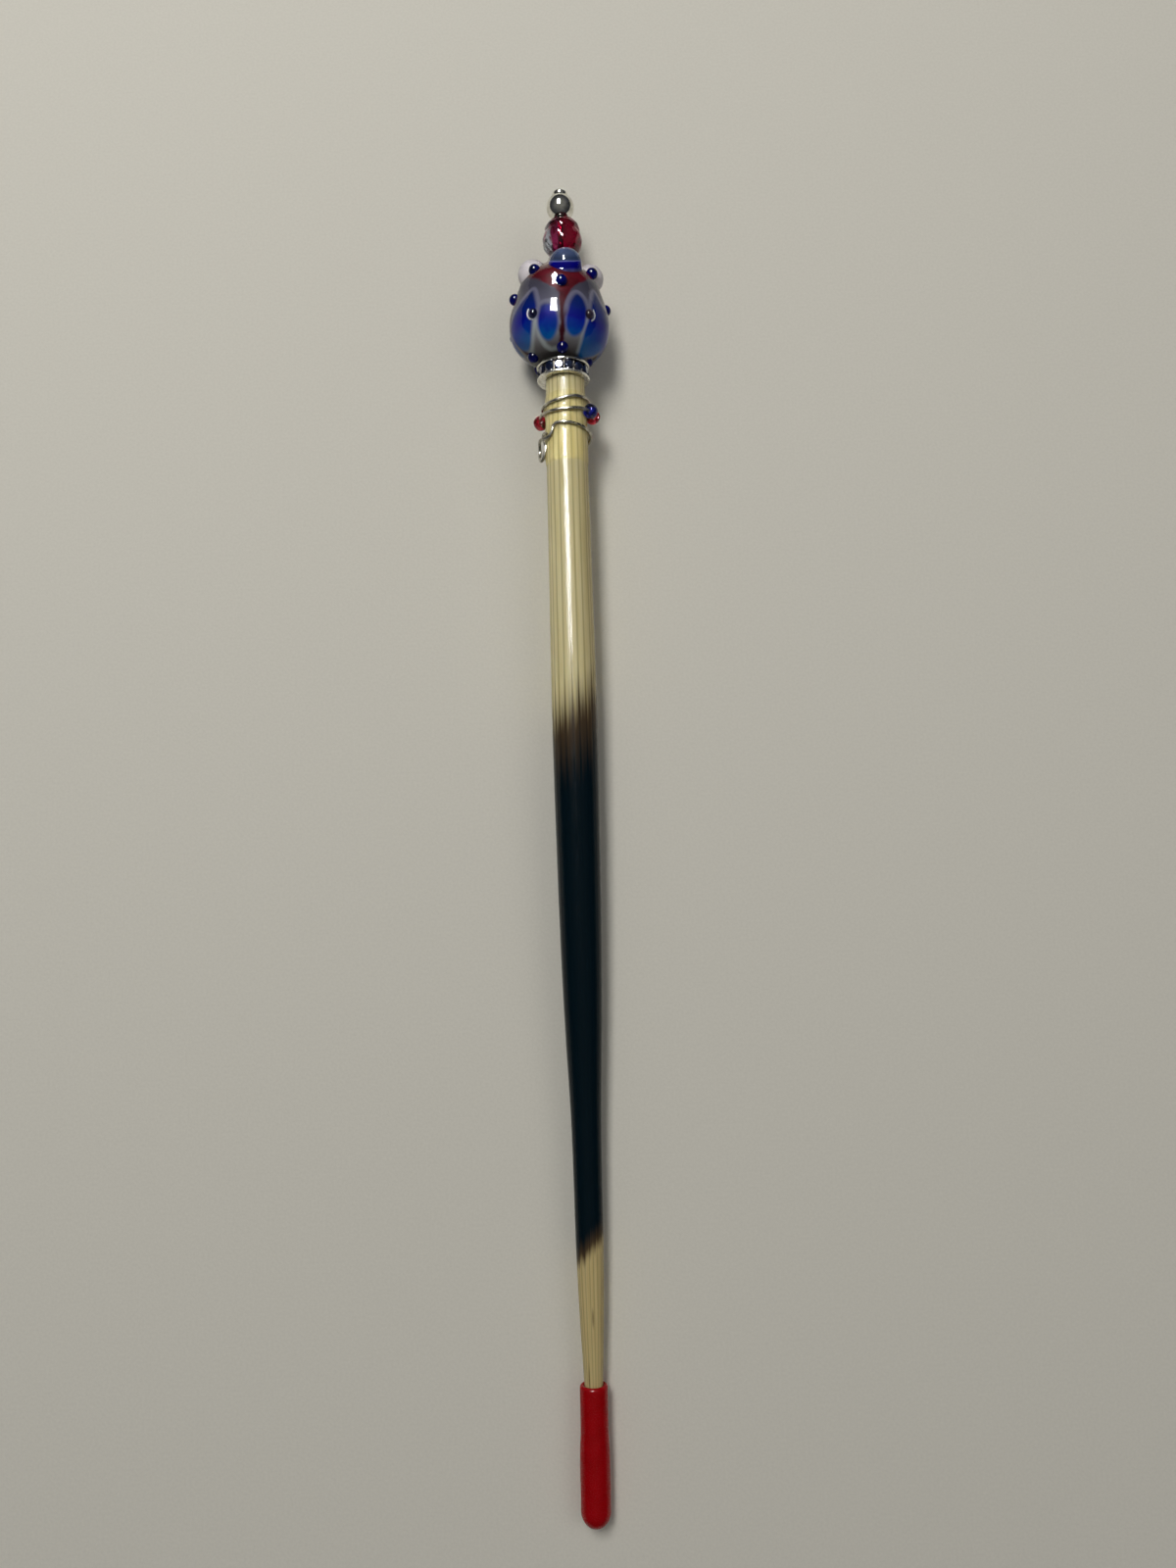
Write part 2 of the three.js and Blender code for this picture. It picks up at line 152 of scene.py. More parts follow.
# [angle, station, lift above the quill], turn after turn, from the loop on the -x side
WIRE_ROUTE = [
    [-60, 154.6, 0.02], [-76, 154.95, 0.08], [-92, 154.85, 0.2], [-94, 154.35, 0.12], [-84, 153.75, 0],
    [-70, 153.1, 0], [-69, 152.2, 0.05], [-75, 151.2, 0.25], [-82, 150.85, 0.5], [-92, 151.5, 0.7],
    [-98, 152.6, 0.75], [-92, 153.55, 0.72], [-76, 153.9, 0.66], [-58, 153.85, 0.25], [-46, 154.05, 0.05],
    [-39, 154.7, 0], [-35, 155.35, 0],
    [-27, 155.7, 0], [0, 155.7, 0], [48, 155.35, 0], [90, 154.9, 0.25], [118, 154.3, 0.3],
    [150, 154.6, 0.05], [190, 155.6, 0], [225, 156.9, 0.3],
    [249, 157.6, 0.84], [272, 158.05, 0.4], [296, 158, 0], [330, 157.8, 0], [370, 157.85, 0],
    [400, 158.1, 0.1], [422, 157.8, 0.84], [443, 157.95, 0.95], [465, 158.15, 0.84], [492, 158.2, 0.2],
    [540, 158.5, 0], [590, 159.05, 0],
    [625, 159, 0.25], [655, 159.2, 0], [696, 159.3, 0], [743, 159.85, 0], [790, 160.1, 0.1],
    [820, 160.15, 0.15], [860, 160.2, 0], [890, 160.3, 0],
]
SEEDS = [["seed_bead_red_left", 249], ["seed_bead_blue", 422], ["seed_bead_red_right", 465]]
SEED_RADIUS = 1.07
SEED_LENGTH = 1.5
SEED_HOLE_RADIUS = 0.44


# Making shapes


def smooth_line(points, steps):
    """Places on a smooth line through the points, with that many steps from each to the next."""
    ends = [2 * points[0] - points[1], *points, 2 * points[-1] - points[-2]]
    line = []
    for before, start, stop, after in zip(ends, ends[1:], ends[2:], ends[3:]):
        spans = (start - before, stop - start, after - stop)
        first, own, last = (math.sqrt(span.length) for span in spans)
        leave = spans[0] / first - (stop - before) / (first + own) + spans[1] / own
        arrive = spans[1] / own - (after - start) / (own + last) + spans[2] / last
        bend = (start + leave * own / 3, stop - arrive * own / 3)
        line += geometry.interpolate_bezier(start, *bend, stop, steps + 1)[:-1]
    return [*line, points[-1]]


def smooth_form(form, steps):
    """A form with more points, on a smooth line through its own."""
    return [place.to_tuple()[:2] for place in smooth_line([Vector((*point, 0)) for point in form], steps)]


def arc(station, radius, height, width, start, stop, steps):
    """Places on an ellipse round [station, radius], between two angles from its lowest station."""
    turns = [math.radians(start + (stop - start) * step / steps) for step in range(steps + 1)]
    return [(station - height * math.cos(turn), radius + width * math.sin(turn)) for turn in turns]


def turned(form, sides):
    """A solid of revolution about the stick's axis."""
    shape = bmesh.new()
    corners = [shape.verts.new((0, station, radius)) for station, radius in form]
    edges = [shape.edges.new(pair) for pair in zip(corners, corners[1:])]
    bmesh.ops.spin(
        shape, geom=corners + edges, cent=(0, 0, 0), axis=(0, 1, 0), angle=2 * math.pi,
        steps=sides, use_merge=True,
    )
    bmesh.ops.remove_doubles(shape, verts=shape.verts, dist=1e-4)
    bmesh.ops.recalc_face_normals(shape, faces=shape.faces)
    return shape


def turned_with_hole(form, hole, sides):
    """The same with a straight hole through it."""
    start, end = (form[0][0], hole), (form[-1][0], hole)
    return turned([start, *form, end, start], sides)


def ball(center, radius, flatness=1.0):
    """A ball; with a flatness below 1 it is a lens that faces away from the stick."""
    shape = bmesh.new()
    bmesh.ops.create_icosphere(shape, subdivisions=4, radius=radius)
    bmesh.ops.scale(shape, vec=(1, 1, flatness), verts=shape.verts)
    turn = Vector((0, 0, 1)).rotation_difference(Vector((center.x, 0, center.z))).to_matrix().to_4x4()
    bmesh.ops.transform(shape, matrix=Matrix.Translation(center) @ turn, verts=shape.verts)
    return shape


def joined(shapes):
    """One shape that holds all the given ones."""
    whole = bmesh.new()
    for shape in shapes:
        part = bpy.data.meshes.new("part")
        shape.to_mesh(part)
        shape.free()
        whole.from_mesh(part)
        bpy.data.meshes.remove(part)
    return whole


def evaluated(data, *modifiers):
    """The shape of a mesh or a curve after its modifiers, each a kind with its settings."""
    held = bpy.data.objects.new("held", data)
    bpy.context.scene.collection.objects.link(held)
    for kind, settings in modifiers:
        modifier = held.modifiers.new(kind, kind)
        for name, value in settings.items():
            setattr(modifier, name, value)
    shape = bmesh.new()
    result = bpy.data.meshes.new_from_object(held.evaluated_get(bpy.context.evaluated_depsgraph_get()))
    shape.from_mesh(result)
    bpy.data.meshes.remove(result)
    bpy.data.objects.remove(held)
    return shape


def melted(shape, grain, softness):
    """The parts of a shape fused into one skin, as glass is in the flame."""
    mesh = bpy.data.meshes.new("melting")
    shape.to_mesh(mesh)
    shape.free()
    skin = evaluated(mesh, ("REMESH", {"mode": "VOXEL", "voxel_size": grain}))
    bpy.data.meshes.remove(mesh)
    for _ in range(softness):
        bmesh.ops.smooth_vert(
            skin, verts=skin.verts, factor=0.5, use_axis_x=True, use_axis_y=True, use_axis_z=True,
        )
    return skin


def wire(line, radius):
    """A round wire along a line of places."""
    curve = bpy.data.curves.new("wire", "CURVE")
    curve.dimensions = "3D"
    curve.bevel_depth = radius
    curve.bevel_resolution = 6
    curve.use_fill_caps = True
    spline = curve.splines.new("POLY")
    spline.points.add(len(line) - 1)
    for point, place in zip(spline.points, line):
        point.co = (*place, 1)
    shape = evaluated(curve)
    bpy.data.curves.remove(curve)
    bmesh.ops.remove_doubles(shape, verts=shape.verts, dist=1e-4)
    bmesh.ops.recalc_face_normals(shape, faces=shape.faces)
    return shape


def placed(name, shape, matrix=STICK, sharp_from=35):
    """An object of a shape, on the paper. Edges that turn more than sharp_from degrees stay crisp."""
    bmesh.ops.transform(shape, matrix=matrix, verts=shape.verts)
    for vert in shape.verts:
        vert.co.z = max(vert.co.z, 0)
    for face in shape.faces:
        face.smooth = True
    for edge in shape.edges:
        edge.smooth = edge.calc_face_angle(0) < math.radians(sharp_from)
    mesh = bpy.data.meshes.new(name)
    shape.to_mesh(mesh)
    shape.free()
    made = bpy.data.objects.new(name, mesh)
    bpy.context.scene.collection.objects.link(made)
    return made


def piece(made, material, stands_for=()):
    """Gives an object its material and its body, and hides the imported pieces that it stands for."""
    made.data.materials.append(material)
    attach(made, "root")
    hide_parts(*stands_for)
    return made


# Making materials


def linear(code):
    """A colour from its sRGB hex code, in the linear values that shaders take."""
    parts = [int(code[place:place + 2], 16) / 255 for place in (1, 3, 5)]
    return (*(part / 12.92 if part <= 0.04045 else ((part + 0.055) / 1.055) ** 2.4 for part in parts), 1)


def node(tree, kind, inputs=(), stops=(), **settings):
    """Adds a node. Its settings are its own properties, its stops a ramp's places and hex colours, and its
    inputs the values of its sockets, by name or in their order. A node given as an input is linked by its
    first output in use.
    """
    made = tree.nodes.new("ShaderNode" + kind)
    for name, value in settings.items():
        setattr(made, name, value)
    for name, value in inputs.items() if isinstance(inputs, dict) else enumerate(inputs):
        if isinstance(value, bpy.types.Node):
            value = next(output for output in value.outputs if output.enabled)
        if isinstance(value, bpy.types.NodeSocket):
            tree.links.new(value, made.inputs[name])
        else:
            made.inputs[name].default_value = value
    for index, (stop, code) in enumerate(stops):
        elements = made.color_ramp.elements
        element = elements[index] if index < len(elements) else elements.new(stop)
        element.position = stop
        element.color = linear(code)
    return made


def new_material(name):
    """An empty material and its node tree."""
    material = bpy.data.materials.new(name)
    material.use_nodes = True
    material.node_tree.nodes.clear()
    return material, material.node_tree


# settings that many nodes share
SMOOTH = {"interpolation_type": "SMOOTHSTEP"}
COLOURS = {"data_type": "RGBA"}


def stick_place(tree):
    """Object coordinates turned into the stick's millimetres."""
    return node(tree, "Mapping", {
        "Vector": node(tree, "TexCoord").outputs["Object"],
        "Location": stick_start,
        "Rotation": (stick_tilt, 0, 0),
        "Scale": (MM, MM, MM),
    }, vector_type="TEXTURE")


# Quill

RIB_COUNT = 22  # ribs round the quill, about 0.9 mm apart
# stations between which the dark band fades out, before its streaks shift them
BAND_TOP = (94.5, 113.5)
BAND_FOOT = (37.5, 42.5)
POINT_STATION = 45  # the ivory is a little browner below this
FLECKS = [(0.15, 28, 0.16, 1.6), (-0.6, 19.8, 0.13, 2.4)]  # [x, station, half width, half length]


def quill_keratin():
    """Quill keratin, grown in fine ribs and polished: a soft gloss over pigment that runs in streaks."""
    material, tree = new_material("quill keratin, ribbed and polished")
    place = stick_place(tree)
    parts = node(tree, "SeparateXYZ", [place])
    across, station, height = (parts.outputs[axis] for axis in "XYZ")
    angle = node(tree, "Math", [across, height], operation="ARCTAN2")
    rib = node(tree, "Math", [angle, RIB_COUNT / (2 * math.pi)], operation="MULTIPLY")
    # dark lines of uneven spacing run between the ribs
    gap = node(
        tree, "TexVoronoi", {"W": rib, "Scale": 1, "Randomness": 0.75},
        voronoi_dimensions="1D", feature="DISTANCE_TO_EDGE",
    )
    groove = node(tree, "MapRange", [gap, 0.02, 0.24, 1, 0], **SMOOTH)
    # the patterns are stretched along the quill
    slow_station = node(tree, "Math", [station, 0.03], operation="MULTIPLY")
    lengthwise = node(tree, "CombineXYZ", [rib, slow_station])
    streak = node(tree, "TexNoise", {"Vector": lengthwise, "Scale": 1.6, "Detail": 4, "Roughness": 0.6})
    fine = node(tree, "TexNoise", {"Vector": lengthwise, "Scale": 9})

    # pigment runs further along the grooves and streaks, and on the +x side
    top = foot = station
    for cause, reach in ((groove, -2.5), (streak, -9), (across, -0.55)):
        top = node(tree, "Math", [cause, reach, top], operation="MULTIPLY_ADD")
    for cause, reach in ((across, -0.95), (streak, 4)):
        foot = node(tree, "Math", [cause, reach, foot], operation="MULTIPLY_ADD")
    top = node(tree, "MapRange", [top, *BAND_TOP, 1, 0])
    foot = node(tree, "MapRange", [foot, *BAND_FOOT])
    pigment = node(tree, "Math", [top, foot], operation="MINIMUM")

    ivory = node(tree, "ValToRGB", [streak], [(0.3, "#dfd29a"), (0.5, "#eadfae"), (0.7, "#f2e9bd")])
    tan = node(tree, "ValToRGB", [streak], [(0.3, "#c8b47c"), (0.7, "#dac896")])
    pointward = node(tree, "MapRange", [station, POINT_STATION, POINT_STATION + 60, 1, 0], **SMOOTH)
    colour = node(tree, "Mix", {0: pointward, 6: ivory, 7: tan}, **COLOURS)
    tones_and_painted_shade = [
        (node(tree, "Math", [groove, 0.5], operation="MULTIPLY"), "#94885a"),
        # painted shade: the +x side, away from the softbox, is darkened toward tan
        (node(tree, "MapRange", [across, 0.3, 3, 0, 0.5], **SMOOTH), "#a08c5c"),
    ]
    for x, fleck_station, half_width, half_length in FLECKS:
        away = node(tree, "VectorMath", [place, (x, fleck_station, 0)], operation="SUBTRACT")
        size = (1 / half_width, 1 / half_length, 0)
        away = node(tree, "VectorMath", [away, size], operation="MULTIPLY")
        away = node(tree, "VectorMath", [away], operation="LENGTH")
        tones_and_painted_shade.append((node(tree, "MapRange", [away, 0.2, 1.2, 0.6, 0], **SMOOTH), "#5a4526"))
    tones_and_painted_shade.append((node(tree, "MapRange", [pigment, 0, 0.45], **SMOOTH), "#54432f"))
    tones_and_painted_shade.append((node(tree, "MapRange", [pigment, 0.2, 0.9], **SMOOTH), "#04161f"))
    for amount, code in tones_and_painted_shade:
        colour = node(tree, "Mix", {0: amount, 6: colour, 7: linear(code)}, **COLOURS)

    relief = node(tree, "Math", [groove, -0.6, fine], operation="MULTIPLY_ADD")
    shader = node(tree, "BsdfPrincipled", {
        "Base Color": colour,
        "Roughness": node(tree, "MapRange", [fine, 0.3, 0.7, 0.08, 0.18], **SMOOTH),
        "IOR": 1.54,
        "Specular IOR Level": 0.11,
        "Subsurface Weight": 0.12,
        "Subsurface Radius": (1.2, 0.9, 0.5),
        "Subsurface Scale": 0.6 * MM,
        "Normal": node(tree, "Bump", {"Height": relief, "Distance": 0.03 * MM, "Strength": 0.5}),
    })
    node(tree, "OutputMaterial", [shader])
    return material


quill_outside = smooth_form(QUILL_FORM, 8)


def quill_radius(station):
    """The quill's radius at a station."""
    stations, radii = zip(*quill_outside)
    return float(np.interp(station, stations, radii))


quill = turned(
    [(3.2, 0), *quill_outside, (163.3, BORE_RADIUS), (BORE_FLOOR, BORE_RADIUS), (BORE_FLOOR, 0)], 96,
)
piece(placed("quill_skin", quill), quill_keratin(), ["quill"])


# Cap on the point


def soft_vinyl():
    """Dip-moulded soft vinyl: glossy, a little translucent, with faint ripples from the dip."""
    material, tree = new_material("soft vinyl, dip-moulded")
    place = stick_place(tree)
    ripple = node(tree, "TexNoise", {"Vector": place, "Scale": 0.6})
    speckle = node(tree, "TexNoise", {"Vector": place, "Scale": 9})
    shader = node(tree, "BsdfPrincipled", {
        "Base Color": node(tree, "ValToRGB", [ripple], [(0.3, "#a00108"), (0.7, "#ac020e")]),
        "Roughness": node(tree, "MapRange", [speckle, 0.3, 0.7, 0.2, 0.3], **SMOOTH),
        "IOR": 1.53,
        "Specular IOR Level": 0.14,
        "Subsurface Weight": 0.25,
        "Subsurface Radius": (1.0, 0.15, 0.2),
        "Subsurface Scale": 0.5 * MM,
        "Normal": node(tree, "Bump", {"Height": ripple, "Distance": 0.08 * MM}),
    })
    node(tree, "OutputMaterial", [shader])
    return material


# the gap between the quill and the cap widens toward the point
pocket = [
    (station, quill_radius(station) + POCKET_WIDENING * (CAP_RIM_STATION - station) + FIT)
    for station in POCKET_STATIONS
]
cap = turned(
    [
        *arc(CAP_END_LENGTH, 0, CAP_END_LENGTH, CAP_RADIUS, 0, 90, 16),
        *smooth_form(CAP_SIDE_FORM, 4),
        *arc(
            CAP_RIM_STATION - CAP_RIM_ROUND, CAP_NECK_RADIUS - CAP_RIM_ROUND, CAP_RIM_ROUND, CAP_RIM_ROUND,
            90, 170, 8,
        ),
        (CAP_RIM_STATION - 0.1, quill_radius(18.6) + FIT),
        *pocket,
        *POCKET_FLOOR,
    ],
    72,
)
at_rim = Matrix.Translation((0, CAP_RIM_STATION, 0))
cap_place = STICK @ at_rim @ Matrix.Rotation(math.radians(CAP_LEAN), 4, "Z") @ at_rim.inverted()
piece(placed("cap_skin", cap, cap_place), soft_vinyl(), ["tip_cap"])


# Silver findings


def silver_plate(name, roughness, bright, tarnish):
    """Silver plate: a bright mirror, with fine handling scratches and a little tarnish."""
    material, tree = new_material(name)
    place = stick_place(tree)
    cloud = node(tree, "TexNoise", {"Vector": place, "Scale": 1.2, "Detail": 4})
    across_scratches = node(tree, "Mapping", {"Vector": place, "Scale": (3, 30, 3)})
    scratch = node(tree, "TexNoise", {"Vector": across_scratches, "Scale": 1})
    shader = node(tree, "BsdfPrincipled", {
        "Base Color": node(tree, "ValToRGB", [cloud], [(0.35, tarnish), (0.6, bright)]),
        "Metallic": 1,
        "Roughness": node(tree, "MapRange", [cloud, 0.3, 0.7, roughness * 1.6, roughness], **SMOOTH),
        "Normal": node(tree, "Bump", {"Height": scratch, "Distance": 0.004 * MM}),
    })
    node(tree, "OutputMaterial", [shader])
    return material


plate_silver = silver_plate("silver plate, polished", 0.06, "#eceae2", "#c9c6ba")
worn_silver = silver_plate("silver plate, tumbled", 0.2, "#efede4", "#d2cfc2")
wire_silver = silver_plate("silver-plated wire, drawn", 0.18, "#c0bcb0", "#928e80")
dark_silver = silver_plate("silver plate, blackened in the seats", 0.2, "#5c5850", "#2c2a28")

RONDELLE = STICK @ Matrix.Translation((RONDELLE_SLIP, 0, 0))
half_plate = PLATE_THICKNESS / 2
for name, station in (
    ("rondelle_lower_plate", RONDELLE_STATION + half_plate),
    ("rondelle_upper_plate", RONDELLE_STATION + RONDELLE_THICKNESS - half_plate),
):
    rim = arc(station, PLATE_RADIUS - half_plate, half_plate, half_plate, 0, 180, 10)
    form = [(station - half_plate, PLATE_FLAT_RADIUS), *rim, (station + half_plate, PLATE_FLAT_RADIUS)]
    plate = turned_with_hole(form, RONDELLE_HOLE_RADIUS, 96)
    plating = plate_silver if "upper" in name else worn_silver
    piece(placed(name.replace("rondelle", "polished"), plate, RONDELLE), plating, [name])

core_start = RONDELLE_STATION + PLATE_THICKNESS + FIT
core_end = RONDELLE_STATION + RONDELLE_THICKNESS - PLATE_THICKNESS - FIT
stone_step = 360 / STONE_COUNT
ribs = []
for index in range(STONE_COUNT):
    rib_form = [(core_start, 0), (core_start, SEAT_RIB_RADIUS), (core_end, SEAT_RIB_RADIUS), (core_end, 0)]
    rib = turned(rib_form, 16)
    rib_angle = STONE_TURN + (index + 0.5) * stone_step
    bmesh.ops.translate(rib, vec=on_stick(rib_angle, 0, SEAT_RIB_DISTANCE), verts=rib.verts)
    ribs.append(rib)
seats = turned_with_hole([(core_start, SEAT_RADIUS), (core_end, SEAT_RADIUS)], RONDELLE_HOLE_RADIUS, 56)
piece(placed("stone_seats", joined([seats, *ribs]), RONDELLE), dark_silver, ["rondelle_core"])

silver_edge = math.sqrt(SILVER_RADIUS ** 2 - SILVER_HOLE_RADIUS ** 2)
head_edge = PIN_HEAD_RISE * math.sqrt(1 - (SILVER_HOLE_RADIUS / PIN_HEAD_RADIUS) ** 2)
silver_station = FACETED_END + FIT + silver_edge
head_station = silver_station + silver_edge + FIT + head_edge
edge_angle = math.degrees(math.asin(SILVER_HOLE_RADIUS / SILVER_RADIUS))
silver = turned_with_hole(
    arc(silver_station, 0, SILVER_RADIUS, SILVER_RADIUS, edge_angle, 180 - edge_angle, 32),
    SILVER_HOLE_RADIUS, 64,
)
piece(placed("silver_round", silver), plate_silver, ["silver_bead"])

neck_angle = math.degrees(math.asin(PIN_RADIUS / PIN_HEAD_RADIUS))
pin = turned(
    [
        (BORE_FLOOR + FIT, 0),
        (BORE_FLOOR + FIT, PIN_RADIUS),
        *arc(head_station, 0, PIN_HEAD_RISE, PIN_HEAD_RADIUS, neck_angle, 180, 32),
    ],
    48,
)
piece(placed("round_headed_pin", pin), plate_silver, ["head_pin"])


# Stones in the rondelle


def foiled_glass():
    """Cut glass on a dark foil: near-black blue, with hard flashes from its facets."""
    material, tree = new_material("sapphire glass, cut and foiled")
    cloud = node(tree, "TexNoise", {"Vector": stick_place(tree), "Scale": 1.1, "Detail": 3})
    shader = node(tree, "BsdfPrincipled", {
        "Base Color": node(tree, "ValToRGB", [cloud], [(0.35, "#020826"), (0.65, "#062454")]),
        "Roughness": node(tree, "MapRange", [cloud, 0.3, 0.7, 0.02, 0.06], **SMOOTH),
        "Metallic": 0.35,
        "Coat Weight": 1,
        "Coat Roughness": 0.01,
        "Coat IOR": 1.65,
    })
    node(tree, "OutputMaterial", [shader])
    return material


sapphire = foiled_glass()
for index in range(STONE_COUNT):
    stone = turned(STONE_FORM, 16)
    bmesh.ops.bevel(
        stone, geom=list(stone.edges), offset=STONE_EDGE, segments=1, profile=0.5, affect="EDGES",
        material=-1,
    )
    angle = STONE_TURN + index * stone_step
    outward = on_stick(angle, 0, 1)
    # the stones are glued in a little crooked
    faced = on_stick(angle + STONE_LEAN * math.cos(2.4 * index), 0, 1)
    turn = Vector((0, 1, 0)).rotation_difference(faced).to_matrix().to_4x4()
    seat = outward * (STONE_TABLE_REACH - STONE_HEIGHT) + Vector((0, (core_start + core_end) / 2, 0))
    bmesh.ops.transform(stone, matrix=Matrix.Translation(seat) @ turn, verts=stone.verts)
    cad_name = f"rhinestone_{index + 1:02d}"
    piece(placed(f"stone_{index + 1:02d}", stone, RONDELLE, 8), sapphire, [cad_name])


# Lampwork bead

# the red collar swells up to the front dome: angle, height and rise of its top, and its half spread
SWELL_ANGLE, SWELL_HEIGHT, SWELL_RISE = -9, 3.4, 1.1
SWELL_SPREAD = (65, 1.9)
SWELL_FROM = 2  # radius inside which the hole's wall stays

BEAD_TURN = Matrix.Translation(BEAD_MIDDLE) @ Matrix.Rotation(math.radians(BEAD_LEAN), 4, "Z")
BEAD = STICK @ BEAD_TURN
dome_middle = BEAD_TURN @ on_stick(*CLEAR_DOMES[0][:3])
CASING = 0.5  # clear glass over the pattern
CORE_ENDS = (-7.7, 8.4)
CORE_HOLE_RADIUS = BEAD_HOLE_RADIUS + 0.05
MELT_GRAIN = 0.14
MELT_SOFTNESS = 12
DOME_GLASS_RADIUS = 2.3
PALE_CORE_DEPTH = 0.3  # clear glass over the milky cores
bead_outside = smooth_form(BEAD_FORM, 5)

# petals, stripes and streaks on the front: outlines of (angle, height)
PETAL_LEFT = [
    (-33, 0.7), (-26.9, -0.8), (-24, -2.3), (-26.5, -3.2), (-31.9, -3.9), (-37.9, -4.9), (-47.7, -6.1),
    (-67.5, -6.6), (-77, -5.9), (-80, -4.4), (-77, -3.1), (-68.5, -2.1), (-56.5, -1.1), (-44, 0),
]
PETAL_RIGHT = [
    (-12.9, -1.8), (-5.9, -2.1), (-1.4, -3), (-0.2, -4), (-2.8, -5.3), (-8.6, -6.2), (-17.9, -6.4),
    (-23.5, -5.8), (-25.2, -4.8), (-25, -3.6), (-23.5, -2.4), (-18.9, -1.9),
]
SECOND_PETAL_LEFT = [
    (21.6, 0), (29.4, -0.4), (34.5, -1.4), (37, -2.6), (36, -3.8), (32.7, -5), (27.9, -5.7), (19.1, -5.8),
    (12.1, -5), (9.4, -3.8), (10.2, -2.4), (14.6, -0.9),
]
SECOND_PETAL_RIGHT = [
    (50, 1.3), (56.2, 0.9), (62, 0), (72.5, -0.6), (85.2, -1.1), (93, -2.4), (94.7, -4), (88.7, -5.9),
    (76, -7), (58.2, -7.5), (45.4, -6.8), (39.9, -5.5), (37.9, -4.1), (39.2, -2.7), (40, -1.5), (44.2, 0.2),
]
STRIPE = [
    (-2, 0.8), (0.6, -1.1), (1.8, -2.6), (2.3, -4.1), (2.6, -5.5), (2.6, -6.9), (9.6, -6.9), (9.1, -5.5),
    (8.8, -4.1), (9.4, -2.6), (10.8, -1), (15, 0.8),
]
STRIPE_ANGLE = 5
OTHER_STRIPES = [97, 150, -140, -77.5]
# where the petals of the other three flowers go: (their pattern's middle, their own, narrowing)
OTHER_FLOWERS = [(41, 112, 0.65), (-31, 185, 0.62), (-31, -104, 0.6)]
COLLAR = [
    (-180, 3.5), (-175, 4), (-140, -0.5), (-109, 4.2), (-82, 0.5), (-77.5, 0.2), (-67, 4.6), (-38.9, 2.8),
    (-23.9, 2.1), (-13.9, 1.2), (-5.6, 0.5), (0, -0.2), (8, -0.4), (15, 0.4), (18.9, 0.9), (26.7, 1.8),
    (40.2, 3.1), (71.5, 4.9),
    (92, 0), (97, -0.5), (124, 4), (150, -0.5), (180, 3.5),
]
STREAKS = [
    [(-29.7, -4.3), (-36, -5.4), (-50, -6.6), (-66, -7.2)],
    [(-27.2, -4.8), (-27.5, -6.1), (-24, -7.1), (-14, -7.5), (-1, -7.4)],
    [(35.4, -4), (36.8, -5.3), (41.2, -6.5), (46.7, -7.3)],
]
# painted light: pale arcs round the rim of two flower eyes, where their clear drops would bend light onto
# the glass below
PAINTED_CAUSTIC_ARCS = [
    [(-37.5, -2.4), (-39.5, -2.9), (-39, -3.4), (-36, -3.85), (-32, -4)],
    [(44.5, -2), (47.5, -2.6), (47, -3.2), (43.5, -3.65)],
]


def swell_collar(shape):
    """Raises the bead's skin round the middle of the collar."""
    for vert in shape.verts:
        away = Vector((vert.co.x, 0, vert.co.z))
        angle = math.degrees(math.atan2(vert.co.x, vert.co.z))
        distance = math.hypot(
            (angle - SWELL_ANGLE) / SWELL_SPREAD[0], (vert.co.y - SWELL_HEIGHT) / SWELL_SPREAD[1],
        )
        if away.length > SWELL_FROM:
            vert.co += away.normalized() * SWELL_RISE * math.exp(-distance ** 2)


def core_place(angles, heights):
    """Places on the patterned core, for arrays of angles and heights."""
    stations, radii = zip(*bead_outside)
    radius = np.interp(heights, stations, radii) - CASING
    turns = np.radians(angles)
    return np.stack([radius * np.sin(turns), heights, radius * np.cos(turns)], -1)


def nearness(places, line):
    """How near each place is to a line of (angle, height) points, in millimetres."""
    spots = core_place(*np.array(line, float).T)
    best = np.full(len(places), 99.0)
    for start, stop in zip(spots, spots[1:]):
        along = stop - start
        share = np.clip((places - start) @ along / (along @ along), 0, 1)
        best = np.minimum(best, np.linalg.norm(places - start - share[:, None] * along, axis=1))
    return best


def depth_inside(places, outline):
    """How deep each place is inside a smooth outline of (angle, height) points; negative outside."""
    corners = [Vector((*corner, 0)) for corner in outline]
    line = smooth_line([*corners[-2:], *corners, *corners[:2]], 6)[12:12 + 6 * len(corners)]
    loop = [(corner.x, corner.y) for corner in [*line, line[0]]]
    center = sum(angle for angle, _ in outline) / len(outline)
    angles = np.degrees(np.arctan2(places[:, 0], places[:, 2]))
    angles = (angles - center + 180) % 360 - 180 + center
    heights = places[:, 1]
    inside = np.zeros(len(places), bool)
    for (angle, height), (next_angle, next_height) in zip(loop, loop[1:]):
        if height != next_height:
            crossing = angle + (heights - height) / (next_height - height) * (next_angle - angle)
            inside ^= ((height > heights) != (next_height > heights)) & (angles < crossing)
    near = nearness(places, loop)
    return np.where(inside, near, -near)


def moved(outline, middle_angle, angle, narrowing):
    """An outline brought round the bead from one middle angle to another, and made narrower."""
    return [(angle + (a - middle_angle) * narrowing, height) for a, height in outline]


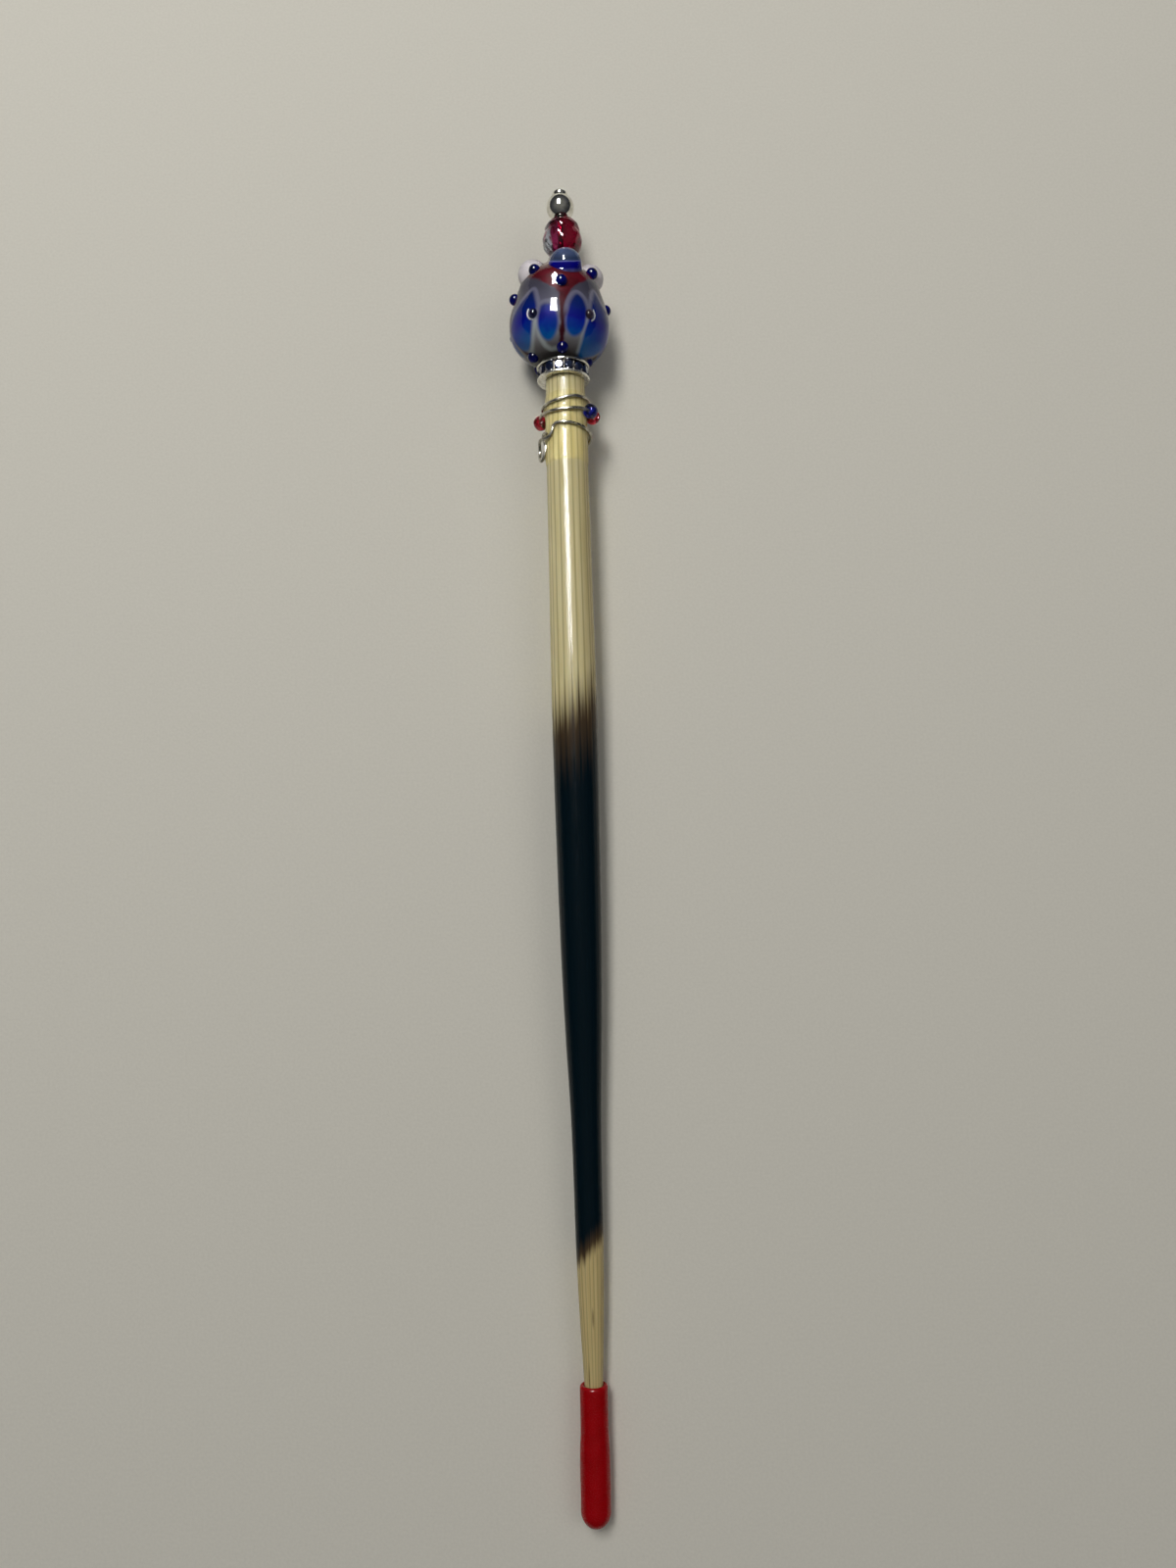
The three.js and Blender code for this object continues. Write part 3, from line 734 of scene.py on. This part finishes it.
def paint_core(made):
    """Stores the pattern on the core: how deep each place lies in the petals, red glass and streaks, and the
    painted caustic arcs.
    """
    flat = np.empty(3 * len(made.data.vertices))
    made.data.vertices.foreach_get("co", flat)
    places = np.c_[flat.reshape(-1, 3), np.ones(len(flat) // 3)] @ np.array(BEAD.inverted()).T
    places = places[:, :3]
    angles = np.degrees(np.arctan2(places[:, 0], places[:, 2]))
    petals = [PETAL_LEFT, PETAL_RIGHT, SECOND_PETAL_LEFT, SECOND_PETAL_RIGHT]
    for middle_angle, angle, narrowing in OTHER_FLOWERS:
        pair = petals[2:4] if middle_angle > 0 else petals[:2]
        petals += [moved(outline, middle_angle, angle, narrowing) for outline in pair]
    stripes = [STRIPE, *(moved(STRIPE, STRIPE_ANGLE, angle, 0.9) for angle in OTHER_STRIPES)]
    collar = places[:, 1] - np.interp(angles, *np.array(COLLAR).T)
    pattern = {
        "petal": np.max([depth_inside(places, outline) for outline in petals], axis=0),
        "red": np.maximum(collar, np.max([depth_inside(places, outline) for outline in stripes], axis=0)),
        "streak": -np.min([nearness(places, line) for line in STREAKS], axis=0),
        "painted_caustic": -np.min([nearness(places, line) for line in PAINTED_CAUSTIC_ARCS], axis=0),
        "height": places[:, 1],
    }
    for name, values in pattern.items():
        made.data.attributes.new(name, "FLOAT", "POINT").data.foreach_set("value", values)


def patterned_glass():
    """Flame-worked glass: blue petals with grey veils round them, on red and smoky grey glass, with painted
    caustic light by two eyes.
    """
    material, tree = new_material("lampwork glass, patterned core")
    petal, red, streak, painted_caustic, height = (
        node(tree, "Attribute", attribute_name=name).outputs["Fac"]
        for name in ("petal", "red", "streak", "painted_caustic", "height")
    )
    swirl = node(tree, "TexNoise", {"Vector": stick_place(tree), "Scale": 0.7, "Detail": 3})
    level = node(tree, "MapRange", [height, -8.2, 2], **SMOOTH)
    grey = node(tree, "ValToRGB", [level], [
        (0, "#56524f"), (0.12, "#8a888e"), (0.3, "#94949e"), (0.6, "#646476"), (1, "#444250"),
    ])
    # the red glass is darker in the stripes and wanders a little at its edge
    collar = node(tree, "ValToRGB", [swirl], [(0.35, "#4c0814"), (0.65, "#62101e")])
    level = node(tree, "MapRange", [height, -5, 2], **SMOOTH)
    red_glass = node(tree, "Mix", {0: level, 6: linear("#3e0a16"), 7: collar}, **COLOURS)
    wander = node(tree, "Math", [swirl, 0.8, -0.4], operation="MULTIPLY_ADD")
    redness = node(tree, "Math", [red, wander], operation="ADD")
    # the veils round the petals thin out toward the lower end, where the blue fades softly
    veil = node(tree, "Math", [
        node(tree, "MapRange", [petal, -0.6, -0.2, 0, 0.8], **SMOOTH),
        node(tree, "MapRange", [height, -4.6, -2.2, 0.1, 1], **SMOOTH),
    ], operation="MULTIPLY")
    tone = node(tree, "Math", [swirl, 2.0, height], operation="MULTIPLY_ADD")
    tone = node(tree, "MapRange", [tone, 1.8, -6.5], **SMOOTH)
    blue = node(tree, "ValToRGB", [tone], [
        (0, "#061e54"), (0.3, "#021c72"), (0.55, "#020a88"), (0.8, "#023698"), (1, "#0464ae"),
    ])
    edge = node(tree, "MapRange", [height, -5.5, -2.5, -0.55, 0], **SMOOTH)
    inside = node(tree, "Math", [petal, edge], operation="SUBTRACT")
    colour = grey
    for amount, glass in (
        (node(tree, "MapRange", [redness, -0.35, 0.2], **SMOOTH), red_glass),
        (veil, linear("#74748a")),
        (node(tree, "MapRange", [streak, -0.75, 0, 0, 0.85], **SMOOTH), linear("#b4bcba")),
        (node(tree, "MapRange", [inside, -0.1, 0.65], **SMOOTH), blue),
        # painted light: near-white caustic arcs beside two flower eyes
        (node(tree, "MapRange", [painted_caustic, -0.17, -0.07], **SMOOTH), linear("#eef2f4")),
    ):
        colour = node(tree, "Mix", {0: amount, 6: colour, 7: glass}, **COLOURS)
    shader = node(tree, "BsdfPrincipled", {
        "Base Color": colour,
        "Roughness": 0.35,
        "IOR": 1.1,
        "Subsurface Weight": 0.1,
        "Subsurface Radius": (1, 1, 1),
        "Subsurface Scale": 0.5 * MM,
    })
    node(tree, "OutputMaterial", [shader])
    return material


def clear_glass(name, code, relief):
    """Clear glass, fire-polished: see-through, with a faintly wavy skin."""
    material, tree = new_material(name)
    wave = node(tree, "TexNoise", {"Vector": stick_place(tree), "Scale": 0.5})
    shader = node(tree, "BsdfPrincipled", {
        "Base Color": linear(code),
        "Roughness": 0.0,
        "IOR": 1.3,
        "Transmission Weight": 1,
        "Normal": node(tree, "Bump", {"Height": wave, "Distance": relief * MM}),
    })
    node(tree, "OutputMaterial", [shader])
    return material


def opaque_glass(name, light, dark):
    """Opaque coloured glass, fire-polished: deep in colour, with small sharp glares."""
    material, tree = new_material(name)
    cloud = node(tree, "TexNoise", {"Vector": stick_place(tree), "Scale": 0.8})
    shader = node(tree, "BsdfPrincipled", {
        "Base Color": node(tree, "ValToRGB", [cloud], [(0.3, dark), (0.7, light)]),
        "Roughness": 0.03,
        "IOR": 1.5,
        "Specular IOR Level": 0.2,
    })
    node(tree, "OutputMaterial", [shader])
    return material


def tinted_glass(name, light, dark):
    """Coloured glass: the light comes through it deep in colour."""
    material, tree = new_material(name)
    cloud = node(tree, "TexNoise", {"Vector": stick_place(tree), "Scale": 0.8})
    shader = node(tree, "BsdfPrincipled", {
        "Base Color": node(tree, "ValToRGB", [cloud], [(0.3, dark), (0.7, light)]),
        "Roughness": 0.02,
        "IOR": 1.52,
        "Transmission Weight": 1,
    })
    node(tree, "OutputMaterial", [shader])
    return material


def milky_glass_painted_rim():
    """Milky glass under the clear domes: pale in the middle, with painted shade greying it toward its
    outline.
    """
    material, tree = new_material("milky glass, painted grey rim")
    facing = node(tree, "LayerWeight", {"Blend": 0.5}).outputs["Facing"]
    cloud = node(tree, "TexNoise", {"Vector": stick_place(tree), "Scale": 0.9})
    # painted shade: the colour greys toward the outline by the facing angle, as the rim of clear glass would
    # look
    tone_and_rim_shade = node(tree, "Math", [cloud, 0.3, facing], operation="MULTIPLY_ADD")
    shader = node(tree, "BsdfPrincipled", {
        "Base Color": node(tree, "ValToRGB", [tone_and_rim_shade], [
            (0.2, "#ece6ea"), (0.55, "#d0cad0"), (0.8, "#a09aa4"), (1, "#5c5a64"),
        ]),
        "Roughness": 0.3,
        "IOR": 1.1,
        "Specular IOR Level": 0.2,
    })
    node(tree, "OutputMaterial", [shader])
    return material


def banded_glass():
    """Slate-blue glass over cobalt: the cobalt shows as a band at the dome's foot, under a lilac line."""
    material, tree = new_material("slate and cobalt glass, layered")
    place = stick_place(tree)
    dome_place = node(tree, "Mapping", {
        "Vector": place, "Location": dome_middle, "Rotation": (math.radians(DOME_TILT), 0, 0),
    }, vector_type="TEXTURE")
    level = node(tree, "SeparateXYZ", [dome_place]).outputs["Y"]
    swirl = node(tree, "TexNoise", {"Vector": place, "Scale": 1.2})
    level = node(tree, "Math", [swirl, 0.1, level], operation="MULTIPLY_ADD")
    level = node(tree, "MapRange", [level, -1.4, 1.9], **SMOOTH)
    shader = node(tree, "BsdfPrincipled", {
        "Base Color": node(tree, "ValToRGB", [level], [
            (0.1, "#5a5a94"), (0.2, "#2c2c98"), (0.26, "#02027c"), (0.58, "#02028c"), (0.63, "#7c80c4"),
            (0.68, "#36446a"), (0.8, "#2c3a58"), (1, "#46547a"),
        ]),
        "Roughness": 0.3,
        "IOR": 1.1,
    })
    node(tree, "OutputMaterial", [shader])
    return material


lampwork_clear = clear_glass("lampwork glass, clear and fire-polished", "#f4f6f8", 0.05)
cobalt = opaque_glass("cobalt glass, melted dots", "#020a78", "#020630")
navy_glass = tinted_glass("navy glass, thin", "#283878", "#182858")
rosy_glass = tinted_glass("rosy glass, thin", "#a87c84", "#8c6068")
milky_glass = milky_glass_painted_rim()

domes = [ball(on_stick(*dome[:3]), dome[3]) for dome in CLEAR_DOMES]
body = turned_with_hole(bead_outside, BEAD_HOLE_RADIUS, 128)
swell_collar(body)
bead_glass = placed("lampwork_clear", melted(joined([body, *domes]), MELT_GRAIN, MELT_SOFTNESS), BEAD, 180)
bead_glass.visible_shadow = False
piece(bead_glass, lampwork_clear, ["lampwork_bead"])

core_form = [
    (height, radius - CASING) for height, radius in bead_outside if CORE_ENDS[0] < height < CORE_ENDS[1]
]
core_shape = turned_with_hole(core_form, CORE_HOLE_RADIUS, 280)
swell_collar(core_shape)
core = placed("lampwork_core", core_shape, BEAD)
paint_core(core)
piece(core, patterned_glass())

dots = joined([ball(on_stick(*dot[:3]), dot[3]) for dot in BLUE_DOTS])
piece(placed("lampwork_dots", dots, BEAD), cobalt)
for index, eye in enumerate(FLOWER_EYES):
    drop = placed(f"lampwork_eye_{index + 1}", ball(on_stick(*eye[:3]), eye[3]), BEAD)
    piece(drop, rosy_glass if index == 1 else navy_glass)

dome_glass = ball(on_stick(*CLEAR_DOMES[0][:3]), DOME_GLASS_RADIUS)
piece(placed("lampwork_dome_glass", dome_glass, BEAD), banded_glass())
pale_cores = joined([ball(on_stick(*dome[:3]), dome[3] - PALE_CORE_DEPTH) for dome in CLEAR_DOMES[1:]])
piece(placed("lampwork_pale_cores", pale_cores, BEAD), milky_glass)


# Faceted bead

FACET_COUNT = 10
FACET_TURN = 4.4
FACET_EDGE = 0.13  # width of the softened edges


def two_tone_glass():
    """Pressed and fire-polished glass: ruby, with a clear side."""
    material, tree = new_material("ruby and clear glass, faceted and fire-polished")
    place = stick_place(tree)
    parts = node(tree, "SeparateXYZ", [place]).outputs
    # the clear side ends at a leaning plane, and the colours meet along a wavy line
    across = node(tree, "Math", [parts["Z"], 0.3, parts["X"]], operation="MULTIPLY_ADD")
    wave = node(tree, "TexNoise", {"Vector": place, "Scale": 0.6})
    across = node(tree, "Math", [wave, 0.5, across], operation="MULTIPLY_ADD")
    cloud = node(tree, "TexNoise", {"Vector": place, "Scale": 0.5})
    ruby = node(tree, "ValToRGB", [cloud], [(0.35, "#70001c"), (0.65, "#90042e")])
    side = node(tree, "MapRange", [across, -0.75, -0.45], **SMOOTH)
    ripple = node(tree, "TexNoise", {"Vector": place, "Scale": 1.5})
    shader = node(tree, "BsdfPrincipled", {
        "Base Color": node(tree, "Mix", {0: side, 6: linear("#b8c2d2"), 7: ruby}, **COLOURS),
        "Roughness": 0.01,
        "IOR": 1.54,
        "Transmission Weight": 1,
        "Normal": node(tree, "Bump", {"Height": ripple, "Distance": 0.03 * MM}),
    })
    node(tree, "OutputMaterial", [shader])
    return material


# [station, radius, turn] of the facets' corners, ring after ring
FACET_RINGS = [
    (183.35, 1.35, 0), (183.95, 2.3, 18), (185.0, 3.02, 0), (186.2, 3.1, 18), (187.1, 2.78, 0),
    (188.0, 2.74, 18), (188.8, 2.15, 0), (189.5, 1.25, 18),
]


def faceted_bead():
    """Rings of corners, joined by flat facets; the edges that the flame softened are rounded after this."""
    shape = bmesh.new()
    ring_before = None
    for station, radius, start in FACET_RINGS:
        corners = [
            shape.verts.new(on_stick(start + FACET_TURN + index * 360 / FACET_COUNT, station, radius))
            for index in range(FACET_COUNT)
        ]
        ring = [shape.edges.new(pair) for pair in zip(corners, [*corners[1:], corners[0]])]
        if ring_before:
            bmesh.ops.bridge_loops(shape, edges=ring_before + ring)
        ring_before = ring
    return shape


faceted = faceted_bead()
bmesh.ops.holes_fill(faceted, edges=faceted.edges, sides=0)
bmesh.ops.triangulate(faceted, faces=[face for face in faceted.faces if len(face.verts) == 4])
bmesh.ops.recalc_face_normals(faceted, faces=faceted.faces)
bmesh.ops.bevel(
    faceted, geom=list(faceted.edges), offset=FACET_EDGE, segments=2, profile=0.5, affect="EDGES",
    material=-1,
)
slip = STICK @ Matrix.Translation((FACETED_SLIP, 0, 0))
piece(placed("faceted_glass", faceted, slip, 30), two_tone_glass(), ["faceted_bead"])


# Wire wrap, its seed beads and the glue over it

wire_points = [
    on_stick(angle, station, quill_radius(station) + FIT + WIRE_RADIUS + lift)
    for angle, station, lift in WIRE_ROUTE
]
WIRE_STEPS = 9
wire_line = smooth_line(wire_points, WIRE_STEPS)
piece(placed("silver_wrap", wire(wire_line, WIRE_RADIUS)), wire_silver, ["wrap_wire"])

red_seed = tinted_glass("red glass, drawn and tumbled", "#c81838", "#a00c20")
blue_seed = tinted_glass("cobalt glass, drawn and tumbled", "#1828b8", "#0c1488")
for name, angle in SEEDS:
    index = [point[0] for point in WIRE_ROUTE].index(angle)
    along = (wire_line[WIRE_STEPS * index + 1] - wire_line[WIRE_STEPS * index - 1]).normalized()
    wall = (SEED_RADIUS - SEED_HOLE_RADIUS) / 2
    seed = turned(arc(0, SEED_HOLE_RADIUS + wall, SEED_LENGTH / 2, wall, 0, 360, 24), 48)
    turn = Vector((0, 1, 0)).rotation_difference(along).to_matrix().to_4x4()
    bmesh.ops.transform(seed, matrix=Matrix.Translation(wire_points[index]) @ turn, verts=seed.verts)
    blue = "blue" in name
    piece(
        placed(name.replace("seed_bead", "glass_seed"), seed), blue_seed if blue else red_seed,
        [name],
    )

GLUE_START, GLUE_END = 150.2, 160.9
GLUE_COAT = 0.1
GLUE_OVERLAP = 0.04  # how far it reaches into the quill's skin
FILLET_RISE, FILLET_REACH = 0.36, 0.62
GLUE_TAPERS = (0.8, 0.5)  # lengths over which it thins out at its start and end


def glue_coat():
    """A clear coat round the quill, drawn up into fillets along the wire."""
    steps = 120
    stations = [GLUE_START + (GLUE_END - GLUE_START) * step / steps for step in range(steps + 1)]
    outside = [(station, quill_radius(station) + 0.02) for station in stations]
    inside = [(station, quill_radius(station) - GLUE_OVERLAP) for station in (GLUE_END, GLUE_START)]
    shape = turned([*outside, *inside, outside[0]], 160)
    line = np.array([place[:] for place in smooth_line(wire_points, 4)])
    for vert in shape.verts:
        away = Vector((vert.co.x, 0, vert.co.z))
        base = quill_radius(vert.co.y)
        if away.length < base or not GLUE_START + 0.01 < vert.co.y < GLUE_END - 0.01:
            continue
        spot = np.array(vert.co[:])
        gap = np.linalg.norm(line - spot, axis=1).min()
        taper = min(1, (vert.co.y - GLUE_START) / GLUE_TAPERS[0], (GLUE_END - vert.co.y) / GLUE_TAPERS[1])
        fillet = FILLET_RISE * math.exp(-((gap / FILLET_REACH) ** 2))
        vert.co += away.normalized() * (GLUE_COAT * math.sqrt(max(taper, 0)) + fillet)
    return shape


glue_glass = clear_glass("clear jewellery glue, set", "#f0eed8", 0.06)
glue = placed("glue_over_wire", glue_coat(), STICK, 180)
glue.visible_shadow = False
piece(glue, glue_glass)


# Paper, light and camera


def paper():
    """Matt drawing paper with a fine grain."""
    material, tree = new_material("drawing paper, matt")
    place = node(tree, "TexCoord").outputs["Object"]
    grain = node(tree, "TexNoise", {"Vector": place, "Scale": 2500, "Detail": 3})
    shader = node(tree, "BsdfPrincipled", {
        "Base Color": node(tree, "ValToRGB", [grain], [(0.3, "#e4e2d9"), (0.7, "#e9e7de")]),
        "Roughness": 0.9,
        "Specular IOR Level": 0.1,
        "Normal": node(tree, "Bump", {"Height": grain, "Distance": 0.05 * MM, "Strength": 0.3}),
    })
    node(tree, "OutputMaterial", [shader])
    return material


sheet = bmesh.new()
bmesh.ops.create_grid(sheet, x_segments=1, y_segments=1, size=1.5)
floor = placed("paper", sheet, Matrix.Identity(4))
floor.data.materials.append(paper())


def soft_light(name, place, aim, size, power, code):
    """A rectangular light at a place, aimed at another."""
    lamp = bpy.data.lights.new(name, "AREA")
    lamp.shape = "RECTANGLE"
    lamp.size, lamp.size_y = size
    lamp.energy = power
    lamp.color = linear(code)[:3]
    held = bpy.data.objects.new(name, lamp)
    held.location = place
    held.rotation_euler = (Vector(place) - Vector(aim)).to_track_quat("Z", "Y").to_euler()
    bpy.context.scene.collection.objects.link(held)
    return held


softbox = soft_light("overhead softbox", (-0.16, 0.344, 0.6), (-0.16, 0.344, 0), (0.16, 0.4), 2.5, "#fffcf6")
softbox.visible_glossy = False
fill = soft_light("room fill", (0.45, 0.05, 0.6), (0, 0, 0), (0.4, 0.4), 0.5, "#fff9f0")
fill.visible_glossy = False
# the softbox's bare lamps, which only mirrors and glass show
lamps = soft_light("lamps", (-0.108, 0.35, 0.598), (-0.108, 0.35, 0), (0.15, 0.4), 19, "#ffffff")
lamps.visible_diffuse = lamps.visible_transmission = False
lamps.data.use_nodes = True
glow = lamps.data.node_tree
bounces = node(glow, "LightPath").outputs["Diffuse Depth"]
direct = node(glow, "Math", [bounces, 0.5], operation="LESS_THAN")
glow.links.new(direct.outputs[0], glow.nodes["Emission"].inputs["Strength"])

world = bpy.data.worlds.new("soft room light")
world.use_nodes = True
sky = world.node_tree
direction = node(sky, "TexCoord").outputs["Generated"]
up = node(sky, "SeparateXYZ", [direction]).outputs["Z"]
# a dim room: the walls are darker than the ceiling
room = node(sky, "ValToRGB", [up], [(0, "#585c62"), (0.5, "#90929a"), (1, "#f6f6f0")])
sky.links.new(room.outputs["Color"], sky.nodes["Background"].inputs["Color"])
sky.nodes["Background"].inputs["Strength"].default_value = 0.21
bpy.context.scene.world = world

lens = bpy.data.cameras.new("camera")
lens.lens = 27.045
lens.sensor_width = 36
lens.clip_start = 0.01
camera = bpy.data.objects.new("camera", lens)
camera.location = (0.001457, -0.01888, 0.1753)
camera.rotation_euler = (math.radians(8), 0, math.radians(-1.69))
bpy.context.scene.collection.objects.link(camera)
bpy.context.scene.camera = camera
bpy.context.scene.view_settings.view_transform = "Standard"
